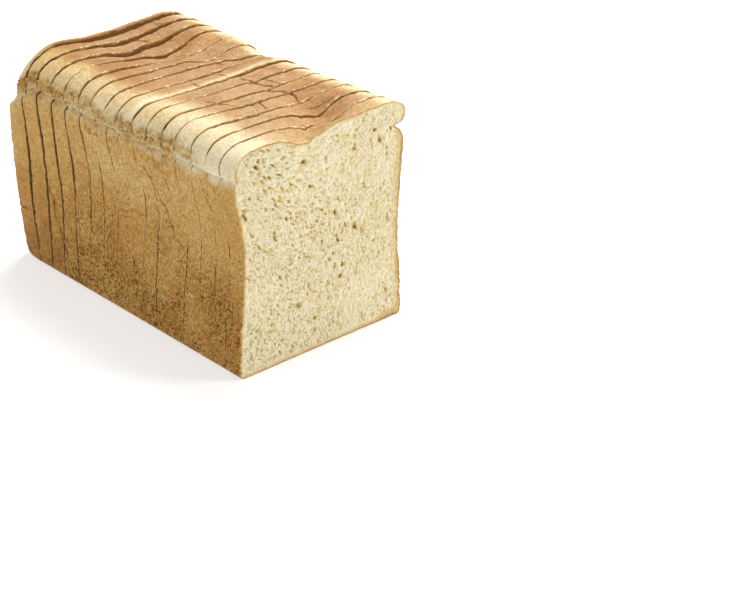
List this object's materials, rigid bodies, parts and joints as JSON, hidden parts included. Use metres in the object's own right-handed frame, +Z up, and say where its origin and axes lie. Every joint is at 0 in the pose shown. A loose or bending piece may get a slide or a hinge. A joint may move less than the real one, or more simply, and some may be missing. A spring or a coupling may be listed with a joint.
{
  "type": "sliced tin loaf",
  "caption": "White tin loaf standing sliced: square-sided slices side by side with an overhanging risen top crust, a cut crumb face in front and a rounded heel behind.",
  "frame": {"origin": "centre of the rectangle the loaf covers on the surface it stands on", "axes": "+Z up, +Y along the loaf from the cut face to the heel, +X to the right of someone who looks at the cut face"},
  "size_m": [0.1224, 0.2172, 0.1375],
  "materials": {
    "cut_slice": "dry open crumb, pale cream, with a thin golden crust round it",
    "crusted_slice": "matt, finely pitted golden-brown crust",
    "end_crust": "matt, finely pitted golden-brown crust, darker at the corners"
  },
  "bodies": {
    "root": {"slice_01": "cut_slice", "slice_02": "crusted_slice", "slice_03": "crusted_slice", "slice_04": "crusted_slice", "slice_05": "crusted_slice", "slice_06": "crusted_slice", "slice_07": "crusted_slice", "slice_08": "crusted_slice", "slice_09": "crusted_slice", "slice_10": "crusted_slice", "slice_11": "crusted_slice", "slice_12": "crusted_slice", "slice_13": "crusted_slice", "slice_14": "crusted_slice", "slice_15": "crusted_slice", "heel": "end_crust"}
  },
  "joints": []
}
